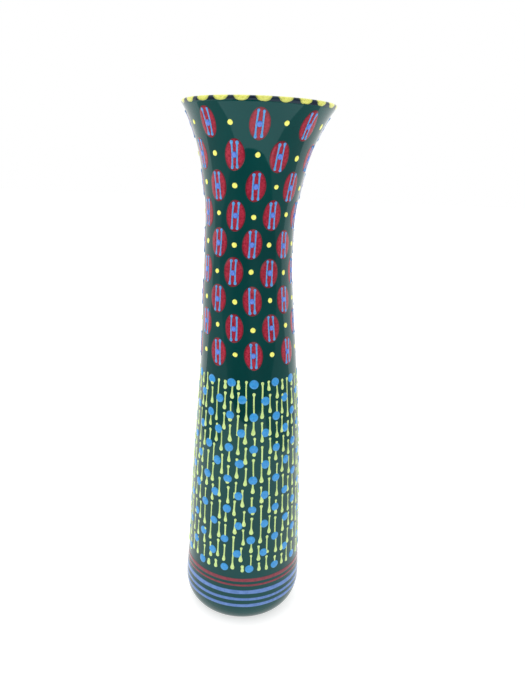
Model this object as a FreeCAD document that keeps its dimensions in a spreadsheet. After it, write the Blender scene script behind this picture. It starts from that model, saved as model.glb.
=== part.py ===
import FreeCAD, Part
import math
import os
import random

from FreeCAD import Placement, Rotation, Vector

# A tall, slender, hand-painted pottery vase. The frame is +Z up, with the origin at the centre of the
# foot, on the surface that the vase stands on. The front looks along -Y. Millimetres throughout.
# The pot is one fired clay body under coats of glaze, and every painted or slip-trailed mark on it is a
# thin solid of its own that stands on the coat below it.

SIZES = {
    # the pot
    "total_height": 400.0,
    "wall_thickness": 4.5,
    "glaze_thickness": 0.4,
    "floor_thickness": 9.0,
    "floor_radius": 31.0,
    "floor_edge_rise": 5.0,
    "floor_edge_radius": 39.0,
    "lip_rounding": 1.3,
    "foot_ring_width": 6.0,
    "foot_recess_depth": 2.5,
    "bare_foot_height": 0.5,
    "rim_band_height": 3.4,
    # dabs over the lip
    "dab_count": 24,
    "dab_radius": 5.0,
    "dab_raised": 1.2,
    "dab_thickness": 0.3,
    # ovals with two strokes and a bead each, and a yellow dot between neighbours
    "oval_rows": 9,
    "ovals_per_row": 8,
    "oval_low_row": 226.4,
    "oval_high_row": 384.6,
    "oval_width": 14.2,
    "oval_height": 21.4,
    "oval_thickness": 0.2,
    "stroke_length": 19.0,
    "stroke_spread": 1.9,
    "stroke_half_width": 0.55,
    "stroke_end_radius": 1.05,
    "stroke_thickness": 0.25,
    "bead_radius": 1.9,
    "bead_thickness": 0.35,
    "yellow_dot_radius": 1.85,
    "yellow_dot_thickness": 0.4,
    # drips and sky-blue dots on the lower body
    "drip_columns": 42,
    "drip_top": 208.0,
    "drip_bottom": 49.5,
    "drip_length": 14.6,
    "drip_gap": 2.0,
    "drip_half_width": 0.6,
    "drip_head_radius": 1.0,
    "drip_drop_radius": 1.55,
    "drip_thickness": 0.3,
    "blue_rows": 13,
    "blue_per_row": 14,
    "blue_low_row": 53.0,
    "blue_high_row": 205.0,
    "sky_blue_dot_radius": 3.35,
    "sky_blue_dot_thickness": 0.45,
    # painted bands above the foot
    "band_thickness": 0.15,
}

# name: share of the total height, radius of the glazed wall, sideways shift of the wall's centre
STATIONS = {
    "foot": (0.0, 37.5, 0.0),
    "heel": (0.010, 42.4, 0.0),
    "heel_top": (0.026, 46.2, 0.2),
    "belly": (0.058, 48.0, 0.4),
    "hip": (0.120, 46.7, 0.7),
    "body_low": (0.225, 45.0, 0.8),
    "body_middle": (0.350, 42.5, 0.8),
    "body_high": (0.470, 39.3, 0.6),
    "collar": (0.600, 35.7, -1.0),
    "neck_low": (0.700, 33.4, -2.4),
    "neck": (0.780, 32.7, -2.3),
    "throat": (0.850, 34.8, -1.3),
    "flare": (0.910, 39.5, -0.2),
    "brim": (0.960, 46.3, 0.9),
    "lip": (1.0, 55.5, 2.0),
}
INNER_STATIONS = [name for name in STATIONS if name not in ("foot", "heel", "heel_top")]

# name: height of the band's middle, width of the band
BANDS = {
    "red_band_wide": (42.7, 3.2),
    "red_band_narrow": (37.8, 1.8),
    "blue_band_upper": (31.7, 3.8),
    "blue_band_middle": (25.3, 2.7),
    "blue_band_lower": (19.2, 3.1),
}

HAND_SEED = 7
MARGIN = 60.0  # how far cutting slabs reach past the pot
PRISM_REACH = 6.0  # how far a mark's outline is carried to each side of the wall
SLIGHTEST_BOW = 0.02  # an arc with less rise than this is drawn as a line
PATCH_MARGIN = 2.0  # how far a patch of the wall reaches past the oval on it
SMALLEST_AREA = 0.8  # square millimetres of a drip that are worth keeping beside a dot

document = FreeCAD.newDocument("talavera_vase")
sheet = document.addObject("Spreadsheet::Sheet", "Dims")


def fill_sheet():
    """One row a size: its name in column A, its value in column B under that name as an alias."""
    rows = dict(SIZES)
    for name, (share, radius, shift) in STATIONS.items():
        rows.update({f"{name}_share": share, f"{name}_radius": radius, f"{name}_shift": shift})
    for name, (middle, width) in BANDS.items():
        rows.update({f"{name}_middle": middle, f"{name}_width": width})
    for line, (name, value) in enumerate(rows.items(), start=1):
        sheet.set(f"A{line}", name)
        sheet.set(f"B{line}", str(value))
        sheet.setAlias(f"B{line}", name)
    document.recompute()


def size(name):
    return float(getattr(sheet, name))


def bound(kind, name, **expressions):
    """An object of the document whose properties follow the sheet."""
    made = document.addObject(kind, name)
    for path, expression in expressions.items():
        made.setExpression(path.replace("_at_", "Placement.Base."), expression)
    return made


def ring(name, radius, height, shift):
    return bound("Part::Circle", name, Radius=radius, _at_z=height, _at_x=shift)


def station_ring(prefix, station, growth, raised="0"):
    return ring(
        f"{prefix}_{station}",
        f"Dims.{station}_radius + ({growth})",
        f"Dims.total_height * Dims.{station}_share + ({raised})",
        f"Dims.{station}_shift",
    )


def loft(name, rings):
    made = document.addObject("Part::Loft", name)
    made.Sections = rings
    made.Solid = True
    return made


def outside_loft(name, growth, lip_raised="0"):
    """The pot's outside, grown by an expression, as a solid from the foot to the lip."""
    return loft(name, [station_ring(name, station, growth, lip_raised if station == "lip" else "0")
                       for station in STATIONS])


def inside_loft(name, growth, floor, lip_raised="0"):
    """The pot's hollow, from the floor at the given height up to the lip."""
    rings = [
        ring(f"{name}_floor", "Dims.floor_radius", floor, "Dims.belly_shift"),
        ring(f"{name}_floor_edge", f"Dims.floor_edge_radius + Dims.wall_thickness + ({growth})",
             f"{floor} + Dims.floor_edge_rise", "Dims.belly_shift"),
    ]
    rings += [station_ring(name, station, growth, lip_raised if station == "lip" else "0")
              for station in INNER_STATIONS]
    return loft(name, rings)


def cut(name, base, tool):
    made = document.addObject("Part::Cut", name)
    made.Base, made.Tool = base, tool
    return made


def common(name, base, tool):
    made = document.addObject("Part::Common", name)
    made.Base, made.Tool = base, tool
    return made


def slab(name, low, high):
    """Everything between two heights."""
    reach = f"(Dims.lip_radius + {MARGIN})"
    return bound("Part::Cylinder", name, Radius=reach, Height=f"({high}) - ({low})", _at_z=low)


def rounded_lip(name, base, growth):
    """Rounds both edges of a pot's flat lip, on a pot that stands this far outside the glazed one."""
    document.recompute()
    made = document.addObject("Part::Fillet", name)
    made.Base = base
    top, radius = size("total_height") + growth, size("lip_rounding") + growth
    numbers = [
        number for number, edge in enumerate(base.Shape.Edges, start=1)
        if edge.Closed and abs(edge.BoundBox.ZMin - top) < 0.01 and abs(edge.BoundBox.ZMax - top) < 0.01
    ]
    made.Edges = [(number, radius, radius) for number in numbers]
    document.recompute()
    return made


def build_pot():
    """The clay body, the coats inside and outside it and the dark band on its lip.

    Returns the glazed outside, and the coat over the lip that the yellow dabs are cut from.
    """
    glaze, wall = "Dims.glaze_thickness", "Dims.wall_thickness"
    top, band = "Dims.total_height", "Dims.total_height - Dims.rim_band_height"
    outside = outside_loft("glazed_outside", "0")
    clay_outside = outside_loft("clay_outside", f"-{glaze}")
    inside = inside_loft("glazed_inside", f"-{wall}", "Dims.floor_thickness")
    clay_inside = inside_loft("clay_inside", f"{glaze} - {wall}", f"Dims.floor_thickness - {glaze}")

    clay_blank = common("clay_blank", cut("clay_shell", clay_outside, clay_inside),
                        slab("below_clay_lip", "0", f"{top} - {glaze}"))
    recess = bound("Part::Cylinder", "foot_recess", Radius="Dims.foot_radius - Dims.foot_ring_width",
                   Height="Dims.foot_recess_depth")
    document.recompute()
    clay_body = rounded_lip("clay_body", cut("clay_footed", clay_blank, recess), -size("glaze_thickness"))
    glazed_pot = rounded_lip("glazed_pot", cut("glazed_shell", outside, inside), 0)

    below_band = slab("below_rim_band", "Dims.bare_foot_height", band)
    common("exterior_glaze", cut("outer_coat", outside, clay_outside), below_band)
    common("interior_glaze", cut("inner_coat", clay_inside, inside), below_band)
    above_band = slab("above_rim_band", band, f"{top} + 1")
    common("rim_band", cut("lip_coat", glazed_pot, clay_body), above_band)

    dab = "Dims.dab_thickness"
    dab_shell = cut("dab_shell", outside_loft("dab_outside", dab, dab),
                    inside_loft("dab_inside", f"-{wall} - {dab}", "Dims.floor_thickness", dab))
    dab_pot = rounded_lip("dab_pot", dab_shell, size("dab_thickness"))
    dab_coat = cut("dab_coat", dab_pot, glazed_pot)
    document.recompute()
    return outside, dab_coat


def build_bands(outside):
    """Rings of colour painted round the vase just above the foot."""
    grown = outside_loft("band_outside", "Dims.band_thickness")
    coat = cut("band_coat", grown, outside)
    for name in BANDS:
        middle, half = f"Dims.{name}_middle", f"Dims.{name}_width / 2"
        common(name, coat, slab(f"{name}_span", f"{middle} - {half}", f"{middle} + {half}"))


def outward(turn):
    """The level direction away from the pot at a turn from the front, towards +X."""
    return Vector(math.sin(math.radians(turn)), -math.cos(math.radians(turn)), 0)


def bowed_edge(first, middle, last):
    """An arc through three points, or a straight line where the arc would be all but straight."""
    bow = (middle - (first + last) / 2).Length
    if bow < SLIGHTEST_BOW:
        return Part.makeLine(first, last)
    return Part.Arc(first, middle, last).toShape()


class Wall:
    """The glazed outside of the pot, asked by turn (degrees from the front, towards +X) and height."""

    def __init__(self, outside):
        self.surface = max(outside.Shape.Faces, key=lambda face: face.Area).Surface

    def ring(self, height):
        """The centre and the radius of the wall's circle at a height."""
        first, last, low, high = self.surface.bounds()
        for _ in range(30):
            middle = (low + high) / 2
            if self.surface.value(first, middle).z < height:
                low = middle
            else:
                high = middle
        near = self.surface.value(first, low)
        far = self.surface.value((first + last) / 2, low)
        return (near + far) / 2, (near - far).Length / 2

    def point(self, turn, height):
        centre, radius = self.ring(height)
        return centre + outward(turn) * radius

    def frame(self, turn, height):
        """A placement with its origin on the wall, X to the right along it, Y up along it and Z out."""
        up = (self.point(turn, height + 1) - self.point(turn, height - 1)).normalize()
        across = outward(turn + 90)
        return Placement(self.point(turn, height), Rotation(across, up, across.cross(up), "ZXY"))

    def layer(self, turn, height, low, high):
        """An oval's patch of the space between two offsets from the wall, bent as the wall is there."""
        half_height = size("oval_height") / 2 + PATCH_MARGIN
        half_width = size("oval_width") / 2 + PATCH_MARGIN
        centre, radius = self.ring(height)
        out = outward(turn)
        profile = []
        for step in (-half_height, 0, half_height):
            reach = (self.point(turn, height + step) - centre).dot(out)
            profile.append(centre + out * reach + Vector(0, 0, step))
        off = outward(turn + 90).cross((profile[2] - profile[0]).normalize())
        near = [corner + off * low for corner in profile]
        far = [corner + off * high for corner in reversed(profile)]
        edges = [bowed_edge(*near), Part.makeLine(near[2], far[0]),
                 bowed_edge(*far), Part.makeLine(far[2], near[0])]
        face = Part.Face(Part.Wire(edges))
        half_turn = math.degrees(half_width / radius)
        face.rotate(centre, Vector(0, 0, 1), -half_turn)
        return face.revolve(centre, Vector(0, 0, 1), 2 * half_turn)


def disc(radius, x=0.0, y=0.0):
    return Part.Face(Part.Wire(Part.Circle(Vector(x, y, 0), Vector(0, 0, 1), radius).toShape()))


def oval_face(width, height):
    ellipse = Part.Ellipse(Vector(0, height / 2, 0), Vector(-width / 2, 0, 0), Vector(0, 0, 0))
    return Part.Face(Part.Wire(ellipse.toShape()))


def trail_face(length, half_width, top_radius, bottom_radius, x=0.0):
    """The outline of one squeeze of slip: a thin line with a round blob at each end."""
    top_neck = length / 2 - top_radius - math.sqrt(top_radius**2 - half_width**2)
    bottom_neck = bottom_radius + math.sqrt(bottom_radius**2 - half_width**2) - length / 2
    right, left = x + half_width, x - half_width
    edges = [
        Part.makeLine(Vector(right, bottom_neck, 0), Vector(right, top_neck, 0)),
        Part.Arc(Vector(right, top_neck, 0), Vector(x, length / 2, 0), Vector(left, top_neck, 0)).toShape(),
        Part.makeLine(Vector(left, top_neck, 0), Vector(left, bottom_neck, 0)),
        Part.Arc(Vector(left, bottom_neck, 0), Vector(x, -length / 2, 0),
                 Vector(right, bottom_neck, 0)).toShape(),
    ]
    return Part.Face(Part.Wire(edges))


def flat_pad(frame, face, tilt, low, high):
    """A slab with the outline face, laid between two distances along the frame's Z."""
    outline = face.copy()
    outline.rotate(Vector(), Vector(0, 0, 1), tilt)
    outline.translate(Vector(0, 0, low))
    outline.Placement = frame.multiply(outline.Placement)
    return outline.extrude(frame.Rotation.multVec(Vector(0, 0, high - low)))


def bent_pad(wall, turn, height, face, tilt, low, high):
    """An oval, or a mark on one, that fills the space between two offsets from the bent wall."""
    prism = flat_pad(wall.frame(turn, height), face, tilt, -PRISM_REACH, PRISM_REACH)
    return prism.common(wall.layer(turn, height, low, high)).Solids


def oval_marks():
    """(turn, height, tilt) of each oval, row by row from the top. Even rows stand between odd ones."""
    hand = random.Random(HAND_SEED)
    rows, count = int(size("oval_rows")), int(size("ovals_per_row"))
    low, high = size("oval_low_row"), size("oval_high_row")
    marks = []
    for row in range(rows):
        height = high + (low - high) * row / (rows - 1)
        start = 3.5 + 0.6 * row + (row % 2) * 180 / count
        for place in range(count):
            marks.append((start + place * 360 / count + hand.uniform(-1, 1),
                          height + hand.uniform(-0.6, 0.6), hand.uniform(-3, 3)))
    return marks


def yellow_marks():
    """(turn, height) of each yellow dot, midway between two ovals of a row."""
    hand = random.Random(HAND_SEED + 1)
    half_step = 180 / size("ovals_per_row")
    return [(turn + half_step + hand.uniform(-1, 1), height + hand.uniform(-1, 1))
            for turn, height, _ in oval_marks()]


def blue_marks():
    """(turn, height) of each sky-blue dot, row by row from the top, every other row shifted half a step."""
    hand = random.Random(HAND_SEED + 2)
    rows, count = int(size("blue_rows")), int(size("blue_per_row"))
    low, high = size("blue_low_row"), size("blue_high_row")
    marks = []
    for row in range(rows):
        height = high + (low - high) * row / (rows - 1)
        start = 8.0 + (row % 2) * 180 / count
        for place in range(count):
            marks.append((start + place * 360 / count + hand.uniform(-0.8, 0.8),
                          height + hand.uniform(-0.7, 0.7)))
    return marks


def drip_marks():
    """(turn, height of the middle, length, tilt) of each drip: columns of strokes from top to bottom.

    The first stroke of every other column is short, which staggers the columns.
    """
    hand = random.Random(HAND_SEED + 3)
    columns, bottom = int(size("drip_columns")), size("drip_bottom")
    shortest = 3 * size("drip_drop_radius")
    marks = []
    for column in range(columns):
        turn = column * 360 / columns
        upper = size("drip_top") + hand.uniform(-1.5, 0.5)
        length = size("drip_length") * hand.uniform(0.8, 1.1) * (0.55 if column % 2 else 1)
        while upper - bottom > shortest:
            lower = max(upper - length, bottom + hand.uniform(-0.5, 0.8))
            marks.append((turn + hand.uniform(-1.1, 1.1), (upper + lower) / 2, upper - lower,
                          hand.uniform(-3.5, 3.5)))
            upper = lower - size("drip_gap") * hand.uniform(0.6, 1.4)
            length = size("drip_length") * hand.uniform(0.85, 1.15)
    return marks


def turn_between(first, second):
    return (first - second + 180) % 360 - 180


def drip_pads(wall):
    """Every drip, with what a blue dot would cover left out of it."""
    dots, clear = blue_marks(), size("sky_blue_dot_radius") + 0.05
    solids = []
    for turn, height, length, tilt in drip_marks():
        face = trail_face(length, size("drip_half_width"), size("drip_head_radius"),
                          size("drip_drop_radius"))
        radius, lean = wall.ring(height)[1], math.radians(tilt)
        for dot_turn, dot_height in dots:
            across = math.radians(turn_between(dot_turn, turn)) * radius
            along = dot_height - height
            if abs(across) < clear + 2 and abs(along) < length / 2 + clear:
                x = across * math.cos(lean) + along * math.sin(lean)
                y = along * math.cos(lean) - across * math.sin(lean)
                face = face.cut(disc(clear, x, y))
        frame = wall.frame(turn, height)
        solids += [flat_pad(frame, left, tilt, 0, size("drip_thickness"))
                   for left in face.Faces if left.Area > SMALLEST_AREA]
    return solids


def build_ovals(wall):
    """Each oval with its two strokes and, across them, a bead that is never quite in the middle."""
    hand = random.Random(HAND_SEED + 4)
    base, top = size("oval_thickness"), size("oval_thickness") + size("stroke_thickness")
    oval = oval_face(size("oval_width"), size("oval_height"))
    end = size("stroke_end_radius")
    spots, strokes, beads = [], [], []
    for turn, height, tilt in oval_marks():
        x, y = hand.uniform(-0.35, 0.25), hand.uniform(-0.7, 0.5)
        spots += bent_pad(wall, turn, height, oval, tilt, 0, base)
        for side in (-1, 1):
            line = trail_face(size("stroke_length"), size("stroke_half_width"), end, end,
                              side * size("stroke_spread"))
            strokes += bent_pad(wall, turn, height, line, tilt, base, top)
        beads += bent_pad(wall, turn, height, disc(size("bead_radius"), x, y), 0, top,
                          top + size("bead_thickness"))
    count = len(oval_marks())
    group("oval_spots", spots, count)
    group("oval_strokes", strokes, 2 * count)
    group("oval_beads", beads, count)


def build_dots_and_drips(wall):
    """The yellow dots between the ovals, and the sky-blue dots and drips below them."""
    for kind, marks in (("yellow_dot", yellow_marks()), ("sky_blue_dot", blue_marks())):
        outline, thickness = disc(size(f"{kind}_radius")), size(f"{kind}_thickness")
        dots = [flat_pad(wall.frame(*mark), outline, 0, 0, thickness) for mark in marks]
        group(f"{kind}s", dots, len(marks))
    drips = drip_pads(wall)
    group("slip_drips", drips, len(drips))


def build_dabs(dab_coat):
    """Yellow dabs over the lip, each the part of a coat that a level rod through the lip covers."""
    count, level = int(size("dab_count")), size("total_height") + size("dab_raised")
    dabs = []
    for place in range(count):
        out = outward(4 + place * 360 / count)
        start = Vector(size("lip_shift"), 0, level) + out * (size("lip_radius") - 20)
        dabs += dab_coat.Shape.common(Part.makeCylinder(size("dab_radius"), 30, start, out)).Solids
    group("rim_dabs", dabs, count)


def group(name, solids, count):
    """One named part made of separate solids."""
    if len(solids) != count:
        raise RuntimeError(f"{name} has {len(solids)} solids, not {count}")
    made = document.addObject("Part::Feature", name)
    made.Shape = Part.makeCompound(solids)


def write_parts():
    """Checks every object and writes each sub-part as a STEP file of its own."""
    nodes = ["clay_body", "exterior_glaze", "interior_glaze", "rim_band", "rim_dabs", "oval_spots",
             "oval_strokes", "oval_beads", "yellow_dots", "sky_blue_dots", "slip_drips", *BANDS]
    failed = [made.Name for made in document.Objects if {"Invalid", "Error"} & set(made.State)]
    for name in nodes:
        shape = document.getObject(name).Shape
        if shape.isNull() or not shape.isValid() or not shape.Solids:
            failed.append(name)
    if failed:
        raise RuntimeError(f"these objects failed: {failed}")
    os.makedirs("parts", exist_ok=True)
    for name in nodes:
        made = document.getObject(name)
        made.Label = name
        made.Shape.exportStep(f"parts/{name}.step")
        print(f"{name}: {len(made.Shape.Solids)} solids, {made.Shape.Volume / 1000:.2f} cm3")


fill_sheet()
outside_wall, lip_coat = build_pot()
build_bands(outside_wall)
document.recompute()
glazed_wall = Wall(outside_wall)
build_ovals(glazed_wall)
build_dots_and_drips(glazed_wall)
build_dabs(lip_coat)
write_parts()
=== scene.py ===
import math
import random
from collections import namedtuple

import bmesh
import bpy
import numpy as np
from mathutils import Matrix, Vector
from mathutils.bvhtree import BVHTree
from numpy.polynomial import Chebyshev


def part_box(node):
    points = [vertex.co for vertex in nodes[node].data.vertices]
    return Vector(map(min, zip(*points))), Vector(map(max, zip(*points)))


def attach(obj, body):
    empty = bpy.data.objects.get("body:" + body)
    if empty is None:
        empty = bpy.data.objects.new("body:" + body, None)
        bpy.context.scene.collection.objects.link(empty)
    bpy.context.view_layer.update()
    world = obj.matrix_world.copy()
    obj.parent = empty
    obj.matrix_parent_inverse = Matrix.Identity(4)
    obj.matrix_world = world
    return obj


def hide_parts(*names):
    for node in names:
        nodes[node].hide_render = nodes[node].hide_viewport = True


# A tall hand-painted pottery vase, glazed dark green. Every coat and mark is laid on the wall that the
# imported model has: the wall is measured once, and each mark stands where its CAD solid does. Turns are
# in radians round the vase from the front (-Y) towards +X, and lengths are in metres.

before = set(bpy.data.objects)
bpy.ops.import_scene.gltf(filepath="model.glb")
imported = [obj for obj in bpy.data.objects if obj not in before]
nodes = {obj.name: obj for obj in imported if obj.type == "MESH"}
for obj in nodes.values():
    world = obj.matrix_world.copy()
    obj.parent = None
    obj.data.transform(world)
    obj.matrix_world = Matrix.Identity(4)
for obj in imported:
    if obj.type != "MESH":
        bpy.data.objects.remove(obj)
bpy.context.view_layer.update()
hand = random.Random(11)  # the painter's hand, which draws every small unevenness in turn
MM = 0.001

SUNK = 0.12 * MM  # how far the underside of a mark lies inside the coat below it
COAT_DEPTH = 0.35 * MM  # how far the outer coat's inner skin lies under its outside
LIP_ROUNDING = 1.4 * MM  # how far down from the top the lip is measured point by point
WALL_END = 1.3 * LIP_ROUNDING  # how far down from the top the smooth wall stops
CLEAR_OF_VASE = 0.2  # a radius outside the whole vase
ANY_PHASE = (0, 6.3)  # about a whole turn, for the start of a ripple
GLAZE_IOR = 1.43
GLAZE_MIRROR = (0.62, 1.0, 1.04, 1.0)  # the thick green glaze tints what it mirrors

Mark = namedtuple("Mark", "turn height half_width half_length")


# ---- the wall ----

def all_round(count):
    """Evenly spaced turns, once round."""
    return np.linspace(0, 2 * math.pi, count, endpoint=False)


def wrapped(turn):
    """The same turn, within half a turn of 0."""
    return (turn + math.pi) % (2 * math.pi) - math.pi


def crowded(count, margin):
    """Shares from nearly 0 to nearly 1, closer together near both ends."""
    return 0.5 - 0.5 * np.cos(np.linspace(margin, math.pi - margin, count))


def level_rays(heights, inward):
    """Where level rays first meet the coats, from outside or from the axis: one row for each height."""
    coats = bmesh.new()
    for name in ("exterior_glaze", "rim_band"):
        coats.from_mesh(nodes[name].data)
    tree = BVHTree.FromBMesh(coats)
    turns = all_round(72)
    start_radius = CLEAR_OF_VASE if inward else 0.0
    rows = []
    for height in heights:
        row = []
        for turn in turns:
            out = Vector((math.sin(turn), -math.cos(turn), 0))
            start = out * start_radius + Vector((0, 0, height))
            row.append(tree.ray_cast(start, -out if inward else out)[0])
        rows.append(np.array(row))
    coats.free()
    return rows


def circle_through(points):
    """The centre's x and the radius of the circle nearest to points on one level."""
    x, y = points[:, 0], points[:, 1]
    unknowns = np.stack([2 * x, 2 * y, np.ones_like(x)], axis=1)
    a, b, c = np.linalg.lstsq(unknowns, x * x + y * y, rcond=None)[0]
    return a, math.sqrt(c + a * a + b * b)


class Wall:
    """The glazed outside of the pot: a smooth radius and sideways shift at every height."""

    def __init__(self):
        self.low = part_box("exterior_glaze")[0][2]
        self.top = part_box("rim_band")[1][2]
        self.band_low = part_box("rim_band")[0][2]
        reach = self.top - WALL_END - self.low
        heights = self.low + reach * crowded(160, margin=0.02)
        circles = np.array([circle_through(row) for row in level_rays(heights, inward=True)])
        self.shift = Chebyshev.fit(heights, circles[:, 0], deg=12)
        self.radius = Chebyshev.fit(heights, circles[:, 1], deg=22)
        self.steepness = self.radius.deriv()
        on_band = self.band_low + 1 * MM
        inner = circle_through(level_rays([on_band], inward=False)[0])[1]
        self.thickness = float(self.radius(on_band)) - inner

    def place(self, turn, height, rise):
        """Points on the wall, raised from it."""
        slope = np.arctan(self.steepness(height))
        reach = self.radius(height) + rise * np.cos(slope)
        x = self.shift(height) + reach * np.sin(turn)
        return np.stack([x, -reach * np.cos(turn), height - rise * np.sin(slope)], axis=-1)

    def around(self, mark, across, along, rise):
        """Points near a mark: across is to the right along the wall, along is up it."""
        height = mark.height + along * math.cos(math.atan(self.steepness(mark.height)))
        return self.place(mark.turn + across / self.radius(height), height, rise)


wall = Wall()


# ---- reading the marks' places off the CAD nodes ----

def solids_of(node):
    """The points of each separate solid of a CAD node."""
    mesh = bmesh.new()
    mesh.from_mesh(nodes[node].data)
    bmesh.ops.remove_doubles(mesh, verts=mesh.verts, dist=1e-6)
    unseen, found = set(mesh.verts), []
    while unseen:
        front = [unseen.pop()]
        points = []
        while front:
            vertex = front.pop()
            points.append(vertex.co[:])
            for edge in vertex.link_edges:
                other = edge.other_vert(vertex)
                if other in unseen:
                    unseen.remove(other)
                    front.append(other)
        found.append(np.array(points))
    mesh.free()
    return found


def read_marks(node):
    """Where each solid of a CAD node is on the wall, from the top down and then round."""
    marks = []
    for points in solids_of(node):
        middle = points.mean(axis=0)
        turn = math.atan2(middle[0] - wall.shift(middle[2]), -middle[1])
        turns = wrapped(np.arctan2(points[:, 0] - wall.shift(points[:, 2]), -points[:, 1]) - turn)
        low, high = points[:, 2].min(), points[:, 2].max()
        height = (low + high) / 2
        slope = math.cos(math.atan(wall.steepness(height)))
        marks.append(Mark(turn + (turns.max() + turns.min()) / 2, height,
                          (turns.max() - turns.min()) / 2 * wall.radius(height), (high - low) / 2 / slope))
    return sorted(marks, key=lambda mark: (-round(mark.height, 4), mark.turn))


# ---- meshes ----

class Mesh:
    """A mesh gathered from many patches. Each point has an edge and a tone value from 0 to 1."""

    def __init__(self):
        self.points, self.faces, self.edge, self.tone = [], [], [], []
        self.count = 0

    def add(self, points, faces, edge=0.0, tone=0.5):
        flat = points.reshape(-1, 3)
        self.points.append(flat)
        self.faces += [tuple(self.count + corner for corner in face) for face in faces]
        self.edge.append(np.broadcast_to(edge, len(flat)))
        self.tone.append(np.broadcast_to(tone, len(flat)))
        self.count += len(flat)

    def piece(self, name, node, slot, material):
        """The gathered mesh as one object that stands for a CAD node."""
        data = bpy.data.meshes.new(name)
        data.from_pydata(np.concatenate(self.points).tolist(), [], self.faces)
        data.shade_smooth()
        for key, values in (("edge", self.edge), ("tone", self.tone)):
            data.attributes.new(key, "FLOAT", "POINT").data.foreach_set("value", np.concatenate(values))
        data.materials.append(material)
        made = bpy.data.objects.new(name, data)
        bpy.context.scene.collection.objects.link(made)
        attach(made, "root")
        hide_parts(node)
        return made


def mound_faces(rings, sides):
    """Faces of a closed mound: its top point, rings of points out to its rim, and a point under it."""
    faces = [(0, 1 + side, 1 + (side + 1) % sides) for side in range(sides)]
    for ring in range(rings - 1):
        inner, outer = 1 + ring * sides, 1 + (ring + 1) * sides
        for side in range(sides):
            after = (side + 1) % sides
            faces.append((inner + side, outer + side, outer + after, inner + after))
    last, under = 1 + (rings - 1) * sides, 1 + rings * sides
    faces += [(under, last + (side + 1) % sides, last + side) for side in range(sides)]
    return faces


def mound(half_width, half_height, profile, rings, sides, ripple=0.02, lean=(0.0, 0.0), power=2.0):
    """(across, along, rise, share of the way to the rim) of the points of one mound.

    profile gives the rise at a share. The outline is a slightly uneven oval, and lean moves the mound's
    top off its middle. A power over 2 squares the oval off.
    """
    angles = all_round(sides)
    shares = np.sin(np.linspace(0, math.pi / 2, rings + 1))[1:, None]
    uneven = sum(ripple / order * np.cos(order * angles + hand.uniform(*ANY_PHASE)) for order in (2, 3, 4))
    squared = (np.abs(np.cos(angles)) ** power + np.abs(np.sin(angles)) ** power) ** (-1 / power)
    reach = (1 + uneven) * squared
    across = half_width * (shares * reach * np.cos(angles) + lean[0] * (1 - shares))
    along = half_height * (shares * reach * np.sin(angles) + lean[1] * (1 - shares))
    share = np.broadcast_to(shares, across.shape)
    tip = (half_width * lean[0], half_height * lean[1])
    across = np.concatenate([[tip[0]], across.ravel(), [0.0]])
    along = np.concatenate([[tip[1]], along.ravel(), [0.0]])
    rise = np.concatenate([[profile(0.0)], profile(share).ravel(), [-SUNK]])
    return across, along, rise, np.concatenate([[0.0], share.ravel(), [1.0]])


def turned(across, along, tilt):
    """Points turned by an angle about their mark's middle."""
    cosine, sine = math.cos(tilt), math.sin(tilt)
    return across * cosine - along * sine, across * sine + along * cosine


def trail_faces(stations, loop):
    """Faces of a closed trail: loops of points with a point at each end."""
    faces = []
    for station in range(stations - 1):
        first, second = station * loop, (station + 1) * loop
        for corner in range(loop):
            after = (corner + 1) % loop
            faces.append((first + corner, first + after, second + after, second + corner))
    start, end = stations * loop, stations * loop + 1
    last = (stations - 1) * loop
    faces += [(start, (corner + 1) % loop, corner) for corner in range(loop)]
    faces += [(end, last + corner, last + (corner + 1) % loop) for corner in range(loop)]
    return faces


TRAIL_STATIONS, TRAIL_TOP = 22, 7
TRAIL_FACES = trail_faces(TRAIL_STATIONS, TRAIL_TOP)


def trail(length, stem, head, drop, taper, height_share, bow):
    """(across, along, rise, thinness) of the points of one squeeze of slip that hangs straight down.

    It is a thin half-round stem with a round head at the top and a drop at the bottom, and the stem
    widens into them over the distance taper.
    """
    down = length * crowded(TRAIL_STATIONS, margin=0.12)
    up = length - down
    past_head, past_drop = np.maximum(down - head, 0), np.maximum(up - drop, 0)
    half = stem + (head - stem) * np.exp(-((past_head / (0.8 * head)) ** 2))
    half += (drop - stem) * np.exp(-((past_drop / taper) ** 2))
    for distance, radius in ((down, head), (up, drop)):
        round_end = np.sqrt(np.maximum(radius**2 - np.maximum(radius - distance, 0) ** 2, 0))
        half = np.minimum(half, np.where(distance < radius, round_end, half))
    angles = np.linspace(0, math.pi, TRAIL_TOP)
    middle = bow * np.sin(math.pi * down / length)
    across = middle[:, None] + half[:, None] * np.cos(angles)
    along = np.broadcast_to((length / 2 - down)[:, None], across.shape)
    rise = (half * height_share + SUNK)[:, None] * np.sin(angles) ** 0.8 - SUNK
    thin = np.broadcast_to(1 - half[:, None] / max(head, drop), across.shape)
    ends = np.array([length / 2, -length / 2])
    return (np.concatenate([across.ravel(), [middle[0], middle[-1]]]),
            np.concatenate([along.ravel(), ends]),
            np.concatenate([rise.ravel(), [-SUNK, -SUNK]]),
            np.concatenate([thin.ravel(), [0.0, 0.0]]))


def ring_sheet(columns, section):
    """Faces that join closed sections, each a loop of points, into a ring round the vase."""
    faces = []
    for column in range(columns):
        first, second = column * section, (column + 1) % columns * section
        for corner in range(section):
            after = (corner + 1) % section
            faces.append((first + corner, second + corner, second + after, first + after))
    return faces


# ---- materials ----

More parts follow.
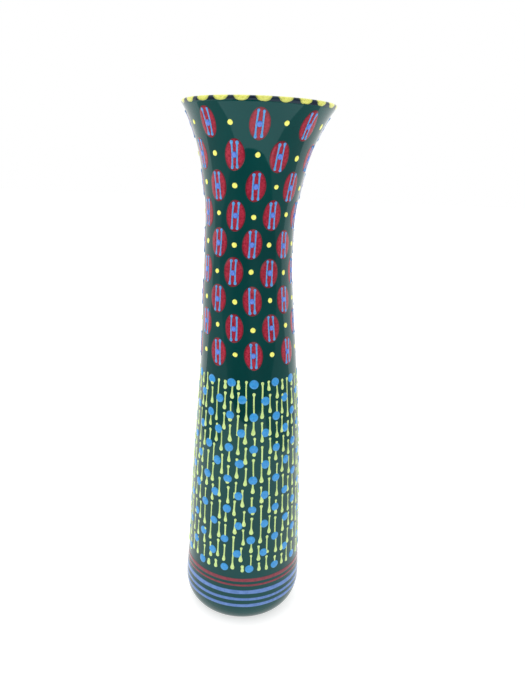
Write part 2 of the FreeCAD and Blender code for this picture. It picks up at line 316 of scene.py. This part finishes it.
class Nodes:
    """The node tree of a material or a world, with short ways to add to it."""

    def __init__(self, owner):
        owner.use_nodes = True
        self.tree = owner.node_tree

    def node(self, kind, **settings):
        made = self.tree.nodes.new(kind)
        for key, value in settings.items():
            setattr(made, key, value)
        return made

    def link(self, source, target):
        self.tree.links.new(source, target)

    def share(self, value, low, high):
        """How far a value has come from low to high, from 0 to 1."""
        made = self.node("ShaderNodeMapRange")
        made.inputs["From Min"].default_value = low
        made.inputs["From Max"].default_value = high
        self.link(value, made.inputs["Value"])
        return made.outputs[0]

    def ramp(self, value, stops):
        """Colours or greys at positions along a value."""
        made = self.node("ShaderNodeValToRGB")
        elements = made.color_ramp.elements
        while len(elements) < len(stops):
            elements.new(0.5)
        for element, (position, colour) in zip(elements, stops):
            element.position = position
            element.color = (*colour, 1) if isinstance(colour, tuple) else (colour, colour, colour, 1)
        self.link(value, made.inputs["Fac"])
        return made.outputs["Color"]

    def mix(self, factor, first, second, blend="MIX"):
        """Two colours mixed by a factor that is a number or another node's output."""
        made = self.node("ShaderNodeMix", data_type="RGBA", blend_type=blend)
        for socket, value in ((made.inputs[0], factor), (made.inputs[6], first), (made.inputs[7], second)):
            if isinstance(value, bpy.types.NodeSocket):
                self.link(value, socket)
            else:
                socket.default_value = (*value, 1) if isinstance(value, tuple) else value
        return made.outputs[2]


class Paint(Nodes):
    """A glaze, slip or other surface under construction."""

    def __init__(self, name):
        self.material = bpy.data.materials.new(name)
        super().__init__(self.material)
        self.shader = self.tree.nodes["Principled BSDF"]
        self.place = self.node("ShaderNodeTexCoord").outputs["Object"]

    def noise(self, scale, detail=3.0, stretch=None):
        """A noise over the frame's own coordinates, about 1/scale metres across."""
        made = self.node("ShaderNodeTexNoise")
        made.inputs["Scale"].default_value = scale
        made.inputs["Detail"].default_value = detail
        source = self.place
        if stretch:
            mapping = self.node("ShaderNodeMapping")
            mapping.inputs["Scale"].default_value = stretch
            self.link(source, mapping.inputs["Vector"])
            source = mapping.outputs["Vector"]
        self.link(source, made.inputs["Vector"])
        return made.outputs["Fac"]

    def attribute(self, name):
        return self.node("ShaderNodeAttribute", attribute_name=name).outputs["Fac"]

    def bump(self, *layers):
        """Bumps one on another, each (height output, depth in metres)."""
        normal = None
        for height, depth in layers:
            made = self.node("ShaderNodeBump")
            made.inputs["Distance"].default_value = depth
            self.link(height, made.inputs["Height"])
            if normal:
                self.link(normal, made.inputs["Normal"])
            normal = made.outputs["Normal"]
        self.link(normal, self.shader.inputs["Normal"])

    def finish(self, colour, roughness):
        self.link(colour, self.shader.inputs["Base Color"])
        if isinstance(roughness, bpy.types.NodeSocket):
            self.link(roughness, self.shader.inputs["Roughness"])
        else:
            self.shader.inputs["Roughness"].default_value = roughness
        self.shader.inputs["IOR"].default_value = GLAZE_IOR
        return self.material


def body_glaze(name, deep, thin):
    """Dark transparent-looking glaze: it pools darker and breaks lighter, with a faint orange peel."""
    paint = Paint(name)
    pooled = paint.ramp(paint.noise(14, detail=4), [(0.3, deep), (0.72, thin)])
    speckle = paint.ramp(paint.noise(900, detail=2), [(0.66, 1.0), (0.74, 0.8)])
    colour = paint.mix(0.35, pooled, speckle, "MULTIPLY")
    rough = paint.ramp(paint.noise(30), [(0.3, 0.03), (0.7, 0.06)])
    waves = paint.noise(26, detail=2)
    orange_peel = paint.noise(420, detail=2)
    paint.bump((waves, 0.25 * MM), (orange_peel, 0.006 * MM))
    paint.shader.inputs["Specular Tint"].default_value = GLAZE_MIRROR
    return paint.finish(colour, rough)


def slip_paint(name, full, thin, rim, edge_start=0.82, mottle=700):
    """Opaque slip under a gloss: blotched where the brush left it thin, and darker at its rim."""
    paint = Paint(name)
    blotched = paint.ramp(paint.noise(mottle), [(0.32, thin), (0.6, full)])
    thinness = paint.ramp(paint.attribute("tone"), [(0.0, 0.0), (1.0, 0.35)])
    toned = paint.mix(thinness, blotched, thin)
    at_rim = paint.ramp(paint.attribute("edge"), [(edge_start, 0.0), (1.0, 1.0)])
    colour = paint.mix(at_rim, toned, rim)
    rough = paint.ramp(paint.noise(200, detail=2), [(0.3, 0.05), (0.7, 0.1)])
    brushed = paint.noise(500, detail=2)
    paint.bump((brushed, 0.015 * MM))
    return paint.finish(colour, rough)


def fired_clay():
    """Bare terracotta: warm, matt and gritty, with turning rings."""
    paint = Paint("fired_clay_bare")
    dark, light = (0.2, 0.075, 0.035), (0.42, 0.19, 0.1)
    colour = paint.ramp(paint.noise(160, detail=6), [(0.25, dark), (0.75, light)])
    grit = paint.noise(1500, detail=4)
    turning = paint.noise(60, detail=2, stretch=(0.2, 0.2, 12))
    paint.bump((turning, 0.15 * MM), (grit, 0.05 * MM))
    return paint.finish(colour, 0.85)


# a glaze's colours are deep and thin, and a slip's are full, thin and at its rim
GREEN = body_glaze("green_glaze", (0.0005, 0.034, 0.033), (0.0012, 0.05, 0.047))
GREEN_INSIDE = body_glaze("green_glaze_inside", (0.001, 0.03, 0.024), (0.003, 0.05, 0.04))
NAVY = body_glaze("navy_glaze", (0.002, 0.003, 0.012), (0.006, 0.009, 0.03))
CRIMSON = slip_paint("crimson_paint", (0.43, 0.028, 0.056), (0.22, 0.01, 0.026), (0.1, 0.006, 0.014))
LIGHT_BLUE = slip_paint("light_blue_slip", (0.11, 0.37, 0.72), (0.06, 0.27, 0.6), (0.04, 0.18, 0.44))
VIOLET_BLUE = slip_paint("violet_blue_slip", (0.15, 0.27, 0.8), (0.09, 0.17, 0.62), (0.04, 0.1, 0.42),
                         edge_start=0.6)
YELLOW = slip_paint("yellow_slip", (0.95, 0.95, 0.24), (0.85, 0.86, 0.14), (0.45, 0.5, 0.06))
SKY_BLUE = slip_paint("sky_blue_slip", (0.05, 0.34, 0.72), (0.03, 0.24, 0.6), (0.02, 0.16, 0.34))
LIME = slip_paint("lime_slip", (0.66, 0.84, 0.33), (0.5, 0.69, 0.23), (0.3, 0.47, 0.15), edge_start=0.45)
PALE_YELLOW = slip_paint("pale_yellow_paint", (0.8, 0.8, 0.2), (0.62, 0.64, 0.12), (0.3, 0.36, 0.07),
                         edge_start=0.7)
DULL_RED = slip_paint("dull_red_paint", (0.25, 0.03, 0.05), (0.17, 0.02, 0.04), (0.09, 0.02, 0.03),
                      edge_start=0.7, mottle=350)
DUSTY_BLUE = slip_paint("dusty_blue_paint", (0.12, 0.24, 0.56), (0.08, 0.18, 0.45), (0.04, 0.1, 0.24),
                        edge_start=0.7, mottle=350)


# ---- coats ----

def build_outer_coat():
    """The dark green coat outside: a closed skin from just above the foot to under the rim's band."""
    columns, rows = 288, 360
    under_band, wave = 0.6 * MM, 0.02 * MM
    turns = all_round(columns)[:, None]
    heights = np.linspace(wall.low, wall.band_low + under_band, rows)
    wander = wave * np.sin(3 * turns + 40 * heights) + wave * np.sin(2 * turns - 90 * heights)
    outer = wall.place(turns, heights[None, :], wander)
    inner = wall.place(turns, heights[None, ::-1], np.full((columns, rows), -COAT_DEPTH))
    coat = Mesh()
    coat.add(np.concatenate([outer, inner], axis=1), ring_sheet(columns, 2 * rows))
    coat.piece("outer_glaze_coat", "exterior_glaze", "dark_green_glaze", GREEN)


def lip_section():
    """(radius, height, centre's x) of points up the outside, over the rounded lip and down the inside."""
    heights = wall.top - LIP_ROUNDING * np.linspace(1, 0.02, 9) ** 2

    def measured(inward):
        circles = [circle_through(row) for row in level_rays(heights, inward)]
        return [(radius, height, centre) for (centre, radius), height in zip(circles, heights)]

    straight = np.linspace(wall.band_low, wall.top - WALL_END, 6)
    outside = [(wall.radius(height), height, wall.shift(height)) for height in straight]
    inside = [(radius - wall.thickness, height, centre) for radius, height, centre in outside]
    return np.array(outside + measured(True) + measured(False)[::-1] + inside[::-1])


LIP = lip_section()
LIP_ALONG = np.concatenate([[0.0], np.cumsum(np.linalg.norm(np.diff(LIP[:, :2], axis=0), axis=1))])
LIP_LENGTH = LIP_ALONG[-1]


def on_lip(turn, along, rise):
    """Points raised from the lip, at a distance along its section from its band's low outer edge."""
    step = 0.05 * MM

    def at(distance):
        return [np.interp(distance, LIP_ALONG, column) for column in LIP.T]

    radius, height, centre = at(along)
    r_before, z_before, _ = at(along - step)
    r_after, z_after, _ = at(along + step)
    length = np.hypot(r_after - r_before, z_after - z_before)
    radius = radius + rise * (z_after - z_before) / length
    height = height - rise * (r_after - r_before) / length
    return np.stack([centre + radius * np.sin(turn), -radius * np.cos(turn), height], axis=-1)


def build_rim_band():
    """The near-black coat that wraps the lip. Its edges waver a little and tuck under."""
    columns, steps = 288, 48
    waver, waver_reach = 0.2 * MM, 0.8 * MM
    rise, rise_reach = 0.01 * MM, 0.25 * MM
    tuck, tuck_reach = 0.05 * MM, 0.1 * MM
    turns = all_round(columns)[:, None]
    along = np.linspace(0, LIP_LENGTH, steps)[None, :]
    edge = np.minimum(along, LIP_LENGTH - along)
    uneven = waver * (np.sin(9 * turns) + np.sin(23 * turns + 1)) * np.exp(-edge / waver_reach)
    rises = rise * (1 - np.exp(-edge / rise_reach)) - tuck * np.exp(-edge / tuck_reach)
    band = Mesh()
    points = on_lip(turns, np.clip(along + uneven, 0, LIP_LENGTH), rises)
    band.add(points, ring_sheet(columns, steps))
    band.piece("rim_band_glaze", "rim_band", "navy_glaze", NAVY)


def flat_topped(height, flatness, sunk):
    """The profile of a mound with a flat top and a round rim that ends a little sunk."""
    def profile(share):
        return height * np.sqrt(np.maximum(1 - share**flatness, 0)) - sunk

    return profile


def build_dabs():
    """Rounded yellow dabs over the lip, each from the outside over the top to the inside."""
    rings, sides = 9, 40
    half_width, half_lip = 6.2 * MM, 0.5 * LIP_LENGTH
    profile = flat_topped(0.12 * MM, flatness=5, sunk=0.03 * MM)
    faces, dabs = mound_faces(rings, sides), Mesh()
    for mark in read_marks("rim_dabs"):
        half = half_width * hand.uniform(0.94, 1.06)
        reach = half_lip * hand.uniform(1.0, 1.06)
        across, along, rise, share = mound(half, reach, profile, rings, sides, ripple=0.03)
        middle = half_lip + hand.uniform(-0.15, 0.15) * MM
        turn = mark.turn + across / wall.radius(mark.height)
        dabs.add(on_lip(turn, middle + along, rise), faces, share, hand.random())
    dabs.piece("rim_dabs_paint", "rim_dabs", "pale_yellow_glaze", PALE_YELLOW)


def build_band(name, slot, material):
    """One painted ring: a low rounded ridge whose edges the brush left a little uneven."""
    (_, _, low), (_, _, high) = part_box(name)
    columns, across = 360, 9
    ridge, sunk, drift_reach = 0.16 * MM, 0.03 * MM, 0.18 * MM
    turns = all_round(columns)[:, None]
    phases = [hand.uniform(*ANY_PHASE) for _ in range(4)]
    drift = drift_reach * (np.sin(turns + phases[0]) + 0.5 * np.sin(5 * turns + phases[1]))
    widen = 1 + 0.05 * np.sin(3 * turns + phases[2]) + 0.04 * np.sin(11 * turns + phases[3])
    angles = np.linspace(math.pi, 0, across)[None, :]
    heights = (low + high) / 2 + drift + (high - low) / 2 * widen * np.cos(angles)
    rises = ridge * np.sin(angles) ** 0.7 - sunk
    edge = np.broadcast_to(np.abs(np.cos(angles)), heights.shape).ravel()
    tone = np.broadcast_to(0.5 + 0.5 * np.sin(2 * turns + phases[1]), heights.shape).ravel()
    band = Mesh()
    band.add(wall.place(turns, heights, rises), ring_sheet(columns, across), edge, tone)
    band.piece(f"{name}_paint", name, slot, material)


# ---- marks ----

def build_ovals():
    """Brushed red ovals, nearly flat, with a soft rounded rim."""
    rings, sides = 9, 48
    profile = flat_topped(0.22 * MM, flatness=4, sunk=0.05 * MM)
    faces, ovals = mound_faces(rings, sides), Mesh()
    for mark in read_marks("oval_spots"):
        across, along, rise, share = mound(mark.half_width, mark.half_length, profile, rings, sides,
                                           ripple=0.03, power=hand.uniform(1.95, 2.15))
        across, along = turned(across, along, hand.uniform(-0.07, 0.07))
        ovals.add(wall.around(mark, across, along, rise), faces, share, hand.random())
    ovals.piece("red_ovals", "oval_spots", "crimson_glaze", CRIMSON)


def build_strokes():
    """Two light-blue strokes on each oval, round-ended and a little crooked."""
    on_oval = 0.2 * MM
    strokes = Mesh()
    for mark in read_marks("oval_strokes"):
        stem = hand.uniform(0.52, 0.66) * MM
        ends = [hand.uniform(0.95, 1.25) * MM for _ in range(2)]
        length = 2 * mark.half_length * hand.uniform(0.94, 1.03)
        across, along, rise, thin = trail(length, stem, *ends, taper=1.2 * MM, height_share=0.35,
                                          bow=hand.uniform(-0.3, 0.3) * MM)
        across, along = turned(across, along, hand.uniform(-0.05, 0.05))
        points = wall.around(mark, across, along, rise + on_oval)
        strokes.add(points, TRAIL_FACES, 0.4 * thin, hand.random())
    strokes.piece("light_blue_strokes", "oval_strokes", "light_blue_slip", LIGHT_BLUE)


def pitted(base, tall, dimple):
    """The profile of a round dot on a base, with the small pit that the trailer's tip left in its top."""
    def profile(share):
        pit = dimple * np.exp(-((share / 0.3) ** 2))
        return base + tall * np.maximum(1 - share**2.4, 0) ** 0.6 - pit - SUNK * share**8

    return profile


def build_dots(node, name, slot, material, base, rise, dimple, spread, ripple):
    """Round raised dots of slip. spread is how wide they may be, as a share of their CAD solids."""
    rings, sides = 9, 28
    faces, dots = mound_faces(rings, sides), Mesh()
    for mark in read_marks(node):
        profile = pitted(base, rise * hand.uniform(0.85, 1.1), dimple)
        half = [mark.half_width * hand.uniform(*spread), mark.half_width * hand.uniform(*spread)]
        lean = (hand.uniform(-0.2, 0.2), hand.uniform(-0.2, 0.2))
        across, along, raised, share = mound(*half, profile, rings, sides, ripple, lean)
        dots.add(wall.around(mark, across, along, raised), faces, share, hand.random())
    dots.piece(name, node, slot, material)


def gap_to_dot(dot, turn, height):
    """The distance on the wall from a place to a dot's edge, negative under the dot."""
    across = wrapped(dot.turn - turn) * wall.radius(height)
    return math.hypot(across, dot.height - height) - dot.half_width


def build_drips():
    """Drips of slip. Where a dot covers an end of one, the drip runs on under it without its round end."""
    dots, drips = read_marks("sky_blue_dots"), Mesh()
    stem_half, head, drop = 0.62 * MM, 1.15 * MM, 1.6 * MM
    covering, run_on = 0.45 * MM, 1.2 * MM
    for mark in read_marks("slip_drips"):
        top, bottom = mark.height + mark.half_length, mark.height - mark.half_length
        top_covered, bottom_covered = [
            min(gap_to_dot(dot, mark.turn, height) for dot in dots) < covering for height in (top, bottom)]
        upper = top + (run_on if top_covered else 0)
        lower = bottom - (run_on if bottom_covered else 0)
        middle = mark._replace(height=(upper + lower) / 2)
        stem = stem_half * hand.uniform(0.85, 1.15)
        ends = [stem if top_covered else head * hand.uniform(0.85, 1.15),
                stem if bottom_covered else drop * hand.uniform(0.88, 1.1)]
        across, along, rise, thin = trail(upper - lower, stem, *ends, taper=2.6 * MM, height_share=0.28,
                                          bow=hand.uniform(-0.25, 0.25) * MM)
        across, along = turned(across, along, hand.uniform(-0.03, 0.03))
        drips.add(wall.around(middle, across, along, rise), TRAIL_FACES, thin, hand.random())
    drips.piece("lime_drips", "slip_drips", "lime_slip", LIME)


def assign(node, material):
    for holder in nodes[node].material_slots:
        holder.material = material


build_outer_coat()
build_rim_band()
build_dabs()
for band in ("red_band_wide", "red_band_narrow"):
    build_band(band, "dull_red_glaze", DULL_RED)
for band in ("blue_band_upper", "blue_band_middle", "blue_band_lower"):
    build_band(band, "dusty_blue_glaze", DUSTY_BLUE)
build_ovals()
build_strokes()
build_dots("oval_beads", "violet_blue_beads", "violet_blue_slip", VIOLET_BLUE,
           base=0.35 * MM, rise=0.4 * MM, dimple=0.16 * MM, spread=(1.02, 1.16), ripple=0.04)
build_dots("yellow_dots", "yellow_dots_slip", "yellow_slip", YELLOW,
           base=0.0, rise=0.4 * MM, dimple=0.14 * MM, spread=(0.92, 1.12), ripple=0.05)
build_dots("sky_blue_dots", "sky_blue_dots_slip", "sky_blue_slip", SKY_BLUE,
           base=0.0, rise=0.45 * MM, dimple=0.05 * MM, spread=(1.0, 1.12), ripple=0.03)
build_drips()
assign("clay_body", fired_clay())
assign("interior_glaze", GREEN_INSIDE)


# ---- studio ----

# how bright the parts of the room are
WHITE_WALL, LEFT_WALL, DARK_DOORWAY, BRIGHT_STRIP, RIGHT_WALL = 1.3, 1.35, 0.02, 1.5, 0.68


def glow(paint, strength):
    paint.shader.inputs["Emission Color"].default_value = (1, 1, 1, 1)
    paint.shader.inputs["Emission Strength"].default_value = strength
    return paint.material


def white_paper():
    """The table top: white paper that glows a little, so that only a faint shadow is left on it."""
    paint = Paint("white_paper")
    grain = paint.ramp(paint.noise(40, 3), [(0.0, 0.53), (1.0, 0.55)])
    paint.finish(grain, 0.9)
    return glow(paint, 0.62)


def glowing_card(name, strength):
    paint = Paint(name)
    paint.shader.inputs["Base Color"].default_value = (0, 0, 0, 1)
    return glow(paint, strength)


def flat_sheet(name, corners, material):
    data = bpy.data.meshes.new(name)
    data.from_pydata(corners, [], [tuple(range(len(corners)))])
    data.materials.append(material)
    made = bpy.data.objects.new(name, data)
    bpy.context.scene.collection.objects.link(made)
    return made


def rectangle(x_low, x_high, y_low, y_high, z):
    return [(x_low, y_low, z), (x_high, y_low, z), (x_high, y_high, z), (x_low, y_high, z)]


def build_floor():
    """A white table top, and round its front and sides a darker room floor that only reflections see."""
    far, front, side, back = 4, -0.64, 0.42, 0.3
    level = 0.0004  # just over the table top
    room = {
        "room_front": (rectangle(-far, far, -far, front, level), 0.08),
        "room_left": (rectangle(-far, -side, front, back, level), 0.4),
        "room_right": (rectangle(side, far, front, back, level), 0.4),
    }
    flat_sheet("floor", rectangle(-6, 6, -6, 6, 0), white_paper())
    for name, (corners, strength) in room.items():
        card = flat_sheet(name, corners, glowing_card(f"{name}_grey", strength))
        card.visible_camera = card.visible_diffuse = card.visible_shadow = False


def build_world():
    """White all round for the camera. Other rays see a room: walls by their turn, and a white ceiling."""
    # (turn in degrees from the front, brightness there)
    room = [(-180, WHITE_WALL), (-108, LEFT_WALL), (-40, LEFT_WALL), (-36, DARK_DOORWAY), (4, DARK_DOORWAY),
            (6, BRIGHT_STRIP), (28, BRIGHT_STRIP), (31, RIGHT_WALL), (106, RIGHT_WALL), (112, WHITE_WALL)]
    world = bpy.data.worlds.new("studio")
    bpy.context.scene.world = world
    sky = Nodes(world)
    direction = sky.node("ShaderNodeSeparateXYZ")
    sky.link(sky.node("ShaderNodeTexCoord").outputs["Generated"], direction.inputs[0])
    frontward = sky.node("ShaderNodeMath", operation="MULTIPLY")
    frontward.inputs[1].default_value = -1
    sky.link(direction.outputs["Y"], frontward.inputs[0])
    turn = sky.node("ShaderNodeMath", operation="ARCTAN2")
    sky.link(direction.outputs["X"], turn.inputs[0])
    sky.link(frontward.outputs[0], turn.inputs[1])
    stops = [(degrees / 360 + 0.5, brightness) for degrees, brightness in room]
    walls = sky.ramp(sky.share(turn.outputs[0], -math.pi, math.pi), stops)
    upward = sky.share(direction.outputs["Z"], 0.55, 0.75)
    lit_room = sky.mix(upward, walls, (WHITE_WALL, WHITE_WALL, WHITE_WALL))
    to_camera = sky.node("ShaderNodeLightPath").outputs["Is Camera Ray"]
    seen = sky.mix(to_camera, lit_room, (1, 1, 1))
    sky.link(seen, sky.tree.nodes["Background"].inputs["Color"])


def build_lights():
    """A large soft light overhead, which lays the faint shadow round the foot."""
    light = bpy.data.lights.new("top_light", "AREA")
    light.shape = "RECTANGLE"
    light.size, light.size_y = 1.6, 1.2
    light.energy = 6
    top = bpy.data.objects.new("top_light", light)
    top.location = (-0.3, 0.2, 1.9)
    aim = Vector((0, 0, 0.2))
    top.rotation_euler = (aim - top.location).to_track_quat("-Z", "Y").to_euler()
    bpy.context.scene.collection.objects.link(top)


def build_camera():
    """Close in front of the vase, looking down, with a slight roll."""
    down, roll = math.radians(16.96), math.radians(2.2)
    camera = bpy.data.objects.new("camera", bpy.data.cameras.new("camera"))
    camera.data.lens = 31.57
    camera.data.clip_start = 0.01
    place = Matrix.Translation((0.0107, -0.46, 0.3604))
    camera.matrix_world = (place @ Matrix.Rotation(math.pi / 2 - down, 4, "X")
                           @ Matrix.Rotation(roll, 4, "Z"))
    bpy.context.scene.collection.objects.link(camera)
    bpy.context.scene.camera = camera


build_floor()
build_world()
build_lights()
build_camera()
bpy.context.scene.view_settings.view_transform = "Standard"
